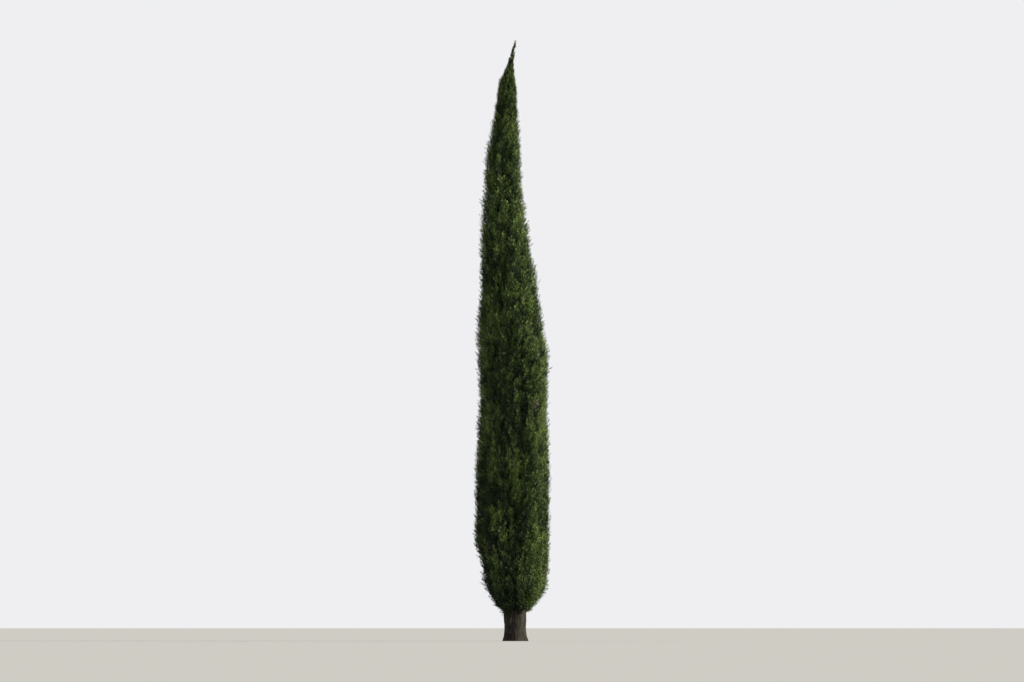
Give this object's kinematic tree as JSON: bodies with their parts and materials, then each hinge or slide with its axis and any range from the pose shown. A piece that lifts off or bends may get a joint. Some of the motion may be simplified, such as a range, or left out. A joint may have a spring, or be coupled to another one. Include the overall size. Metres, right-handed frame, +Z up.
{
  "type": "pencil cypress tree",
  "caption": "Tall slender cypress tree: a straight trunk with a root flare, steep boughs and a narrow column of upright flame-shaped foliage masses up to a thin leader.",
  "frame": {"origin": "middle of the flat cut under the trunk, at ground level", "axes": "+Z up along the trunk, +X to the picture's right, -Y towards the picture's viewer"},
  "size_m": [1.3868, 1.2686, 10.8],
  "materials": {
    "bark": "rough, fibrous grey-brown bark in long shallow strips",
    "foliage": "matt dark green sprays of scale leaves, olive at the tips",
    "cones": "dull grey-brown woody scales"
  },
  "bodies": {
    "root": {"trunk": "bark", "bough_skirt_1": "bark", "bough_skirt_2": "bark", "bough_skirt_3": "bark", "bough_skirt_4": "bark", "bough_skirt_5": "bark", "bough_skirt_6": "bark", "bough_lower_1": "bark", "bough_lower_2": "bark", "bough_lower_3": "bark", "bough_lower_4": "bark", "bough_lower_5": "bark", "bough_middle_1": "bark", "bough_middle_2": "bark", "bough_middle_3": "bark", "bough_middle_4": "bark", "bough_middle_5": "bark", "bough_upper_1": "bark", "bough_upper_2": "bark", "bough_upper_3": "bark", "bough_upper_4": "bark", "bough_upper_5": "bark", "bough_spire_1": "bark", "bough_spire_2": "bark", "bough_spire_3": "bark", "foliage_skirt_1": "foliage", "foliage_skirt_2": "foliage", "foliage_skirt_3": "foliage", "foliage_skirt_4": "foliage", "foliage_skirt_5": "foliage", "foliage_skirt_6": "foliage", "foliage_lower_1": "foliage", "foliage_lower_2": "foliage", "foliage_lower_3": "foliage", "foliage_lower_4": "foliage", "foliage_lower_5": "foliage", "foliage_middle_1": "foliage", "foliage_middle_2": "foliage", "foliage_middle_3": "foliage", "foliage_middle_4": "foliage", "foliage_middle_5": "foliage", "foliage_upper_1": "foliage", "foliage_upper_2": "foliage", "foliage_upper_3": "foliage", "foliage_upper_4": "foliage", "foliage_upper_5": "foliage", "foliage_spire_1": "foliage", "foliage_spire_2": "foliage", "foliage_spire_3": "foliage", "foliage_leader": "foliage"}
  },
  "joints": []
}
